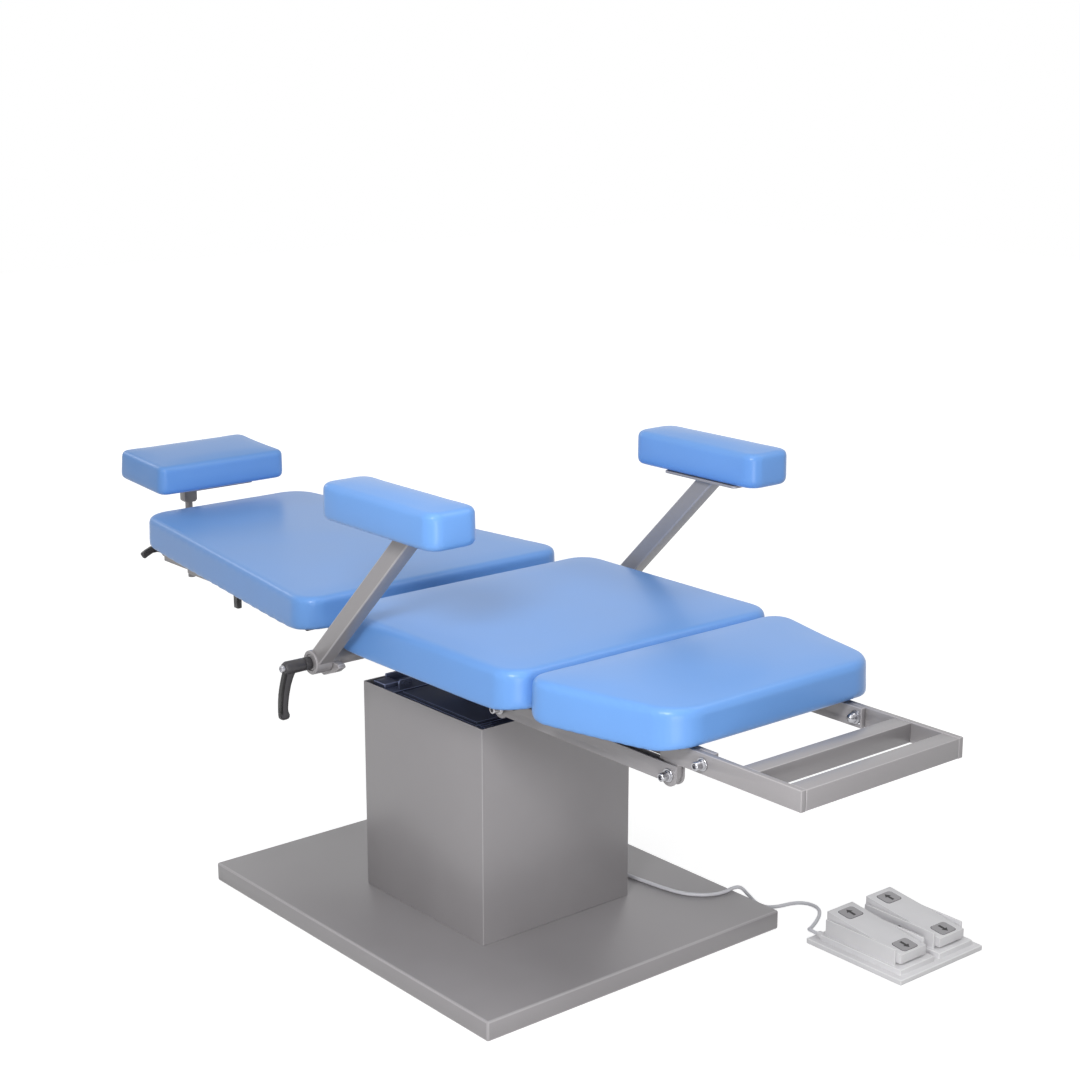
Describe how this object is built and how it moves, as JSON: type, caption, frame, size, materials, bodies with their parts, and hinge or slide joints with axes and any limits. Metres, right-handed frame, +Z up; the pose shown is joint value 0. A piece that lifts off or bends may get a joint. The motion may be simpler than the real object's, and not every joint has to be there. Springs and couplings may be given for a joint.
{
  "type": "ear nose and throat chair",
  "caption": "Powered examination chair laid flat: lifting column on a base plate, tilting back and leg sections, level footrest, swing-back arm rests, sliding headrest and a corded foot pedal.",
  "frame": {"origin": "centre of the base plate's underside, on the floor", "axes": "+Z up, +Y along the chair towards the headrest, +X towards the sitter's left, where the pedal stands"},
  "size_m": [0.862, 1.8873, 0.7841],
  "materials": {
    "grey_paint": "satin grey paint",
    "plain_steel": "plain turned steel",
    "dark_steel": "dark blue-black paint",
    "dark_plastic": "fine texture",
    "cord_jacket": "smooth pale jacket",
    "pale_plastic": "satin pale grey",
    "board": "dark-backed panel",
    "blue_vinyl": "satin blue vinyl over foam",
    "bright_bolt": "bright plate",
    "dark_lever": "dark moulded grip"
  },
  "bodies": {
    "base": {"base_plate": "grey_paint", "column_shroud": "grey_paint", "column_outer": "plain_steel", "lift_actuator": "dark_steel", "control_box": "dark_plastic", "shroud_gland": "cord_jacket", "cord": "cord_jacket", "pedal_base": "pale_plastic", "pedal_axle": "plain_steel"},
    "carriage": {"column_inner": "dark_steel", "lift_rod": "plain_steel", "lift_saddle": "dark_steel", "seat_rail_left": "grey_paint", "seat_rail_right": "grey_paint", "seat_cross_front": "grey_paint", "seat_cross_rear": "grey_paint", "hinge_shaft": "grey_paint", "seat_board": "board", "seat_cushion": "blue_vinyl", "drive_body": "dark_steel"},
    "drive_slider": {"drive_rod": "plain_steel"},
    "backrest": {"back_hinge_tube": "grey_paint", "back_crank": "plain_steel", "back_rail_left": "grey_paint", "back_rail_right": "grey_paint", "back_cross_lower": "grey_paint", "back_cross_upper": "grey_paint", "back_board": "board", "back_cushion": "blue_vinyl", "headrest_guide": "grey_paint"},
    "sync_link": {"sync_rod": "plain_steel"},
    "leg_section": {"leg_bar_left": "grey_paint", "leg_bar_right": "grey_paint", "leg_cross": "grey_paint", "leg_board": "board", "leg_cushion": "blue_vinyl", "footrest_bolt_left": "bright_bolt", "footrest_bolt_right": "bright_bolt"},
    "footrest": {"footrest_bar_left": "grey_paint", "footrest_bar_right": "grey_paint", "footrest_tube_inner": "grey_paint", "footrest_tube_outer": "grey_paint", "link_bolt_right": "bright_bolt"},
    "level_link_right": {"link_right": "grey_paint"},
    "arm_rest_left": {"arm_left": "grey_paint", "arm_pad_left": "blue_vinyl"},
    "arm_rest_right": {"arm_right": "grey_paint", "arm_pad_right": "blue_vinyl"},
    "arm_clamp_left": {"arm_lever_left": "dark_lever"},
    "arm_clamp_right": {"arm_lever_right": "dark_lever"},
    "headrest_bar": {"head_bar": "grey_paint"},
    "bar_clamp": {"head_bar_lever": "dark_lever"},
    "headrest_post": {"head_post": "grey_paint"},
    "post_clamp": {"head_post_lever": "dark_lever"},
    "headrest": {"head_bracket": "grey_paint", "head_cushion": "blue_vinyl"},
    "rocker_inner": {"pedal_rocker_inner": "pale_plastic"},
    "rocker_outer": {"pedal_rocker_outer": "pale_plastic"}
  },
  "joints": [
    {"name": "lift", "type": "slide", "parent": "base", "child": "carriage", "axis": [0, 0, 1], "range_m": [0, 0.23]},
    {"name": "back_tilt", "type": "hinge", "parent": "carriage", "child": "backrest", "pos_m": [0, 0.045, 0.4735], "axis": [1, 0, 0], "range_deg": [0, 70]},
    {"name": "drive_stroke", "type": "slide", "parent": "carriage", "child": "drive_slider", "axis": [0, 1, 0], "range_m": [0, 0.08]},
    {"name": "sync_swing", "type": "hinge", "parent": "backrest", "child": "sync_link", "pos_m": [0, 0.00239, 0.41797], "axis": [1, 0, 0], "range_deg": [-70, 0]},
    {"name": "leg_tilt", "type": "hinge", "parent": "carriage", "child": "leg_section", "pos_m": [0, -0.2955, 0.4735], "axis": [1, 0, 0], "range_deg": [0, 70]},
    {"name": "footrest_level", "type": "hinge", "parent": "leg_section", "child": "footrest", "pos_m": [0, -0.659, 0.4735], "axis": [1, 0, 0], "range_deg": [-70, 0]},
    {"name": "link_swing_right", "type": "hinge", "parent": "carriage", "child": "level_link_right", "pos_m": [0, -0.234, 0.441], "axis": [1, 0, 0], "range_deg": [0, 70]},
    {"name": "arm_swing_left", "type": "hinge", "parent": "carriage", "child": "arm_rest_left", "pos_m": [0.298, 0.045, 0.4735], "axis": [1, 0, 0], "range_deg": [-90, 20]},
    {"name": "arm_swing_right", "type": "hinge", "parent": "carriage", "child": "arm_rest_right", "pos_m": [-0.298, 0.045, 0.4735], "axis": [1, 0, 0], "range_deg": [-90, 20]},
    {"name": "arm_clamp_turn_left", "type": "hinge", "parent": "carriage", "child": "arm_clamp_left", "pos_m": [0.335, 0.045, 0.4735], "axis": [1, 0, 0], "range_deg": [-60, 60]},
    {"name": "arm_clamp_turn_right", "type": "hinge", "parent": "carriage", "child": "arm_clamp_right", "pos_m": [-0.335, 0.045, 0.4735], "axis": [1, 0, 0], "range_deg": [-60, 60]},
    {"name": "head_bar_slide", "type": "slide", "parent": "backrest", "child": "headrest_bar", "axis": [0, 1, 0], "range_m": [-0.06, 0.08]},
    {"name": "bar_clamp_turn", "type": "hinge", "parent": "backrest", "child": "bar_clamp", "pos_m": [-0.0188, 0.727, 0.3985], "axis": [1, 0, 0], "range_deg": [-60, 60]},
    {"name": "head_post_slide", "type": "slide", "parent": "headrest_bar", "child": "headrest_post", "axis": [0, 0, 1], "range_m": [-0.008, 0.015]},
    {"name": "post_clamp_turn", "type": "hinge", "parent": "headrest_bar", "child": "post_clamp", "pos_m": [0, 1.0343, 0.3985], "axis": [0, 1, 0], "range_deg": [-45, 45]},
    {"name": "headrest_tilt", "type": "hinge", "parent": "headrest_post", "child": "headrest", "pos_m": [0, 0.948, 0.556], "axis": [1, 0, 0], "range_deg": [-30, 3]},
    {"name": "pedal_tip_inner", "type": "hinge", "parent": "base", "child": "rocker_inner", "pos_m": [0.347, -0.54, 0.031], "axis": [1, 0, 0], "range_deg": [-2, 2], "stiffness_Nm_per_rad": 20},
    {"name": "pedal_tip_outer", "type": "hinge", "parent": "base", "child": "rocker_outer", "pos_m": [0.439, -0.54, 0.031], "axis": [1, 0, 0], "range_deg": [-2, 2], "stiffness_Nm_per_rad": 20}
  ],
  "couplings": [
    {"joint": "leg_tilt", "follows": "back_tilt", "ratio": 1},
    {"joint": "footrest_level", "follows": "back_tilt", "ratio": -1},
    {"joint": "link_swing_right", "follows": "back_tilt", "ratio": 1},
    {"joint": "sync_swing", "follows": "back_tilt", "ratio": -1},
    {"joint": "drive_stroke", "follows": "back_tilt", "m_per_rad": 0.065}
  ]
}
